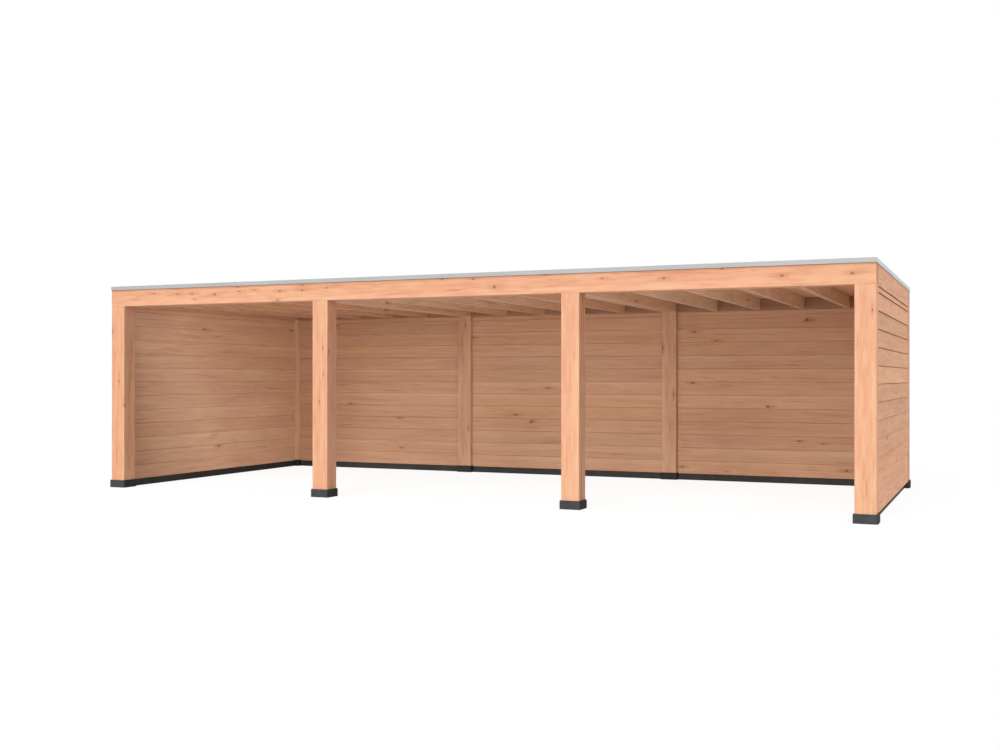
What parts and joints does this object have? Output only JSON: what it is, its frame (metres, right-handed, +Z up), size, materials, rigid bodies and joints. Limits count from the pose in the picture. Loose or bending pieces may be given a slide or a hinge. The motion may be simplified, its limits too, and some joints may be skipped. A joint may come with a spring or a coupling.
{
  "type": "wooden patio cover",
  "caption": "Long flat-roofed timber patio cover with an open post-and-beam front, boarded side and back walls, block feet, dark plinths and a slim metal roof edge.",
  "frame": {"origin": "centre of the footprint on the ground, under the middle of the box around the cover", "axes": "+X along the front towards the right end, +Y from the open front to the back wall, +Z up"},
  "size_m": [9.032, 4.032, 2.465],
  "materials": {
    "foot_grey": "matte dark grey",
    "plinth_grey": "matte dark grey",
    "post_timber": "planed bare softwood, vertical grain",
    "beam_timber": "planed bare softwood",
    "rafter_timber": "planed bare softwood",
    "wall_boards": "planed bare softwood boards",
    "deck_boards": "planed bare softwood boards",
    "roof_rubber": "matte black sheet",
    "trim_metal": "matte mill aluminium"
  },
  "bodies": {
    "root": {"front_left_foot": "foot_grey", "front_middle_left_foot": "foot_grey", "front_middle_right_foot": "foot_grey", "front_right_foot": "foot_grey", "back_left_foot": "foot_grey", "back_middle_left_foot": "foot_grey", "back_middle_right_foot": "foot_grey", "back_right_foot": "foot_grey", "front_left_post": "post_timber", "front_middle_left_post": "post_timber", "front_middle_right_post": "post_timber", "front_right_post": "post_timber", "back_left_post": "post_timber", "back_middle_left_post": "post_timber", "back_middle_right_post": "post_timber", "back_right_post": "post_timber", "front_ring_beam": "beam_timber", "back_ring_beam": "beam_timber", "left_ring_beam": "beam_timber", "right_ring_beam": "beam_timber", "left_cross_beam": "rafter_timber", "right_cross_beam": "rafter_timber", "left_bay_rafters": "rafter_timber", "middle_bay_rafters": "rafter_timber", "right_bay_rafters": "rafter_timber", "left_wall_cladding": "wall_boards", "left_wall_lining": "wall_boards", "right_wall_cladding": "wall_boards", "right_wall_lining": "wall_boards", "back_left_cladding": "wall_boards", "back_left_lining": "wall_boards", "back_middle_cladding": "wall_boards", "back_middle_lining": "wall_boards", "back_right_cladding": "wall_boards", "back_right_lining": "wall_boards", "left_plinth": "plinth_grey", "right_plinth": "plinth_grey", "back_plinth": "plinth_grey", "roof_deck": "deck_boards", "roof_membrane": "roof_rubber", "front_roof_trim": "trim_metal", "back_roof_trim": "trim_metal", "left_roof_trim": "trim_metal", "right_roof_trim": "trim_metal"}
  },
  "joints": []
}
